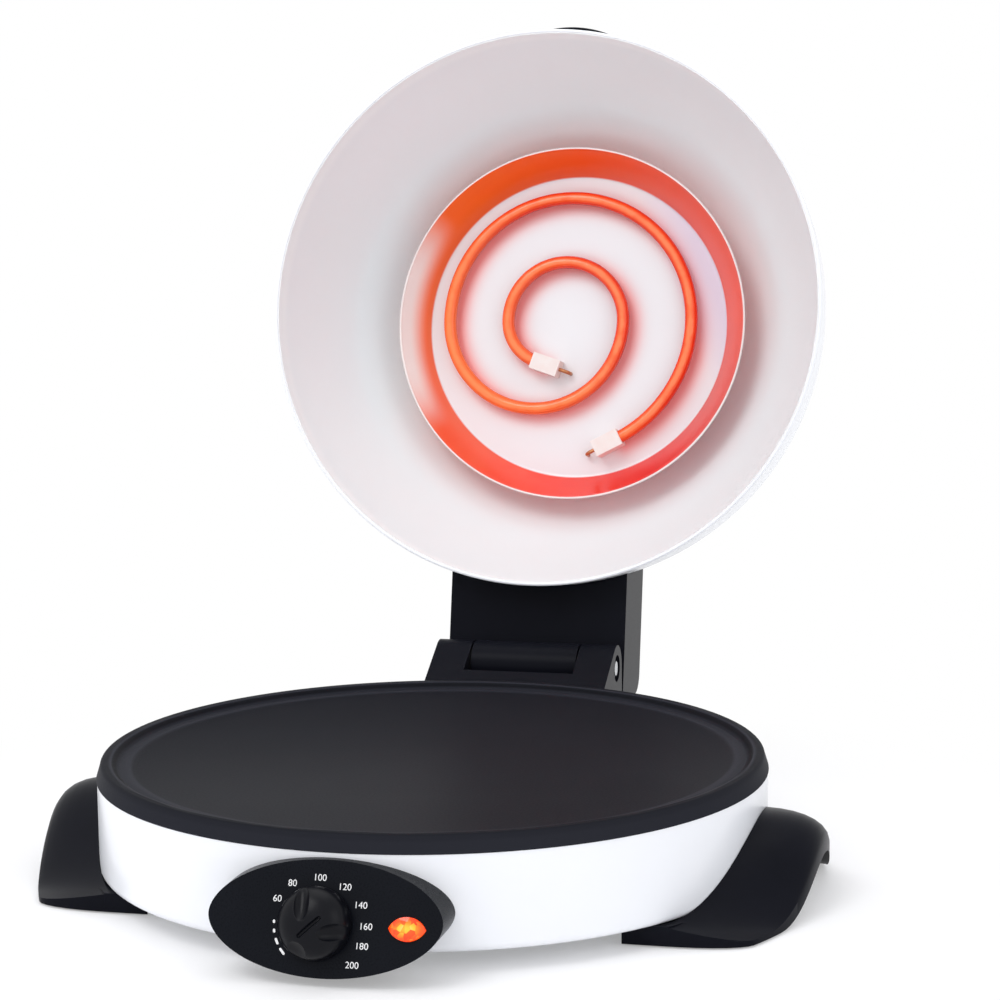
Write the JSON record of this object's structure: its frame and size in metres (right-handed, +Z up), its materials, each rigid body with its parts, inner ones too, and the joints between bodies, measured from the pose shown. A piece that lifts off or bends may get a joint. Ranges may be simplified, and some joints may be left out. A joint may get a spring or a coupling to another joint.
{
  "type": "electric roti maker",
  "caption": "Countertop flatbread cooker: round non-stick plate on a white body with handle feet, dial and lamp, and a deep domed lid with a spiral heater on a rear hinge.",
  "frame": {"origin": "centre of the cooking surface", "axes": "+Z up, square to the cooking surface; the control panel faces -Y and the hinge is on the +Y side; +X is to the right of someone facing the panel"},
  "size_m": [0.389, 0.5649, 0.4189],
  "materials": {
    "white_enamel": "gloss white enamel",
    "bowl_enamel": "satin pale grey enamel",
    "pan_enamel": "gloss white enamel",
    "nonstick": "black non-stick coating",
    "shield_metal": "mill finish",
    "zinc_steel": "zinc plated",
    "screw_steel": "plated",
    "heater_sheath": "dull grey sheath",
    "heater_glow": "glowing red quartz tube",
    "black_plastic": "satin black",
    "black_panel": "semi-gloss black",
    "black_knob": "semi-gloss black",
    "lamp_orange": "clear orange lens",
    "neon_glass": "clear glass",
    "ceramic": "unglazed ceramic",
    "bush_nylon": "natural nylon",
    "lead_copper": "bare lead",
    "pad_rubber": "matte"
  },
  "bodies": {
    "base": {"base_shell": "white_enamel", "bottom_cover": "zinc_steel", "bottom_cover_screws": "screw_steel", "cooking_plate": "nonstick", "plate_studs": "screw_steel", "stud_spacers": "zinc_steel", "stud_nuts": "screw_steel", "lower_heater": "heater_sheath", "heater_clamps": "zinc_steel", "heater_clamp_screws": "screw_steel", "heat_shield": "shield_metal", "control_panel": "black_panel", "panel_screws": "screw_steel", "thermostat": "ceramic", "thermostat_screws": "screw_steel", "lamp_lens": "lamp_orange", "neon_lamp": "neon_glass", "terminal_block": "ceramic", "cord_gland": "black_plastic", "left_handle": "black_plastic", "right_handle": "black_plastic", "handle_screws": "screw_steel", "handle_nuts": "screw_steel", "foot_pads": "pad_rubber", "hinge_tower": "black_plastic", "tower_screws": "screw_steel", "rear_pads": "pad_rubber", "hinge_pin": "screw_steel", "pin_clip": "screw_steel"},
    "knob": {"thermostat_shaft": "screw_steel", "control_knob": "black_knob"},
    "lid": {"hinge_bushes": "bush_nylon", "lid_arm": "black_plastic", "lid_arm_screws": "screw_steel", "lid_shell": "white_enamel", "lid_liner": "bowl_enamel", "reflector_pan": "pan_enamel", "pan_studs": "screw_steel", "pan_nuts": "screw_steel", "upper_heater": "heater_glow", "ceramic_ends": "ceramic", "heater_leads": "lead_copper", "lid_handle": "black_plastic", "lid_handle_screws": "screw_steel"}
  },
  "joints": [
    {"name": "lid_hinge", "type": "hinge", "parent": "base", "child": "lid", "pos_m": [0, 0.203, 0.005], "axis": [1, 0, 0], "range_deg": [0, 102.2]},
    {"name": "knob_turn", "type": "hinge", "parent": "base", "child": "knob", "pos_m": [-0.005, -0.17769, -0.03246], "axis": [0, 0.9397, -0.342], "range_deg": [0, 300]}
  ]
}
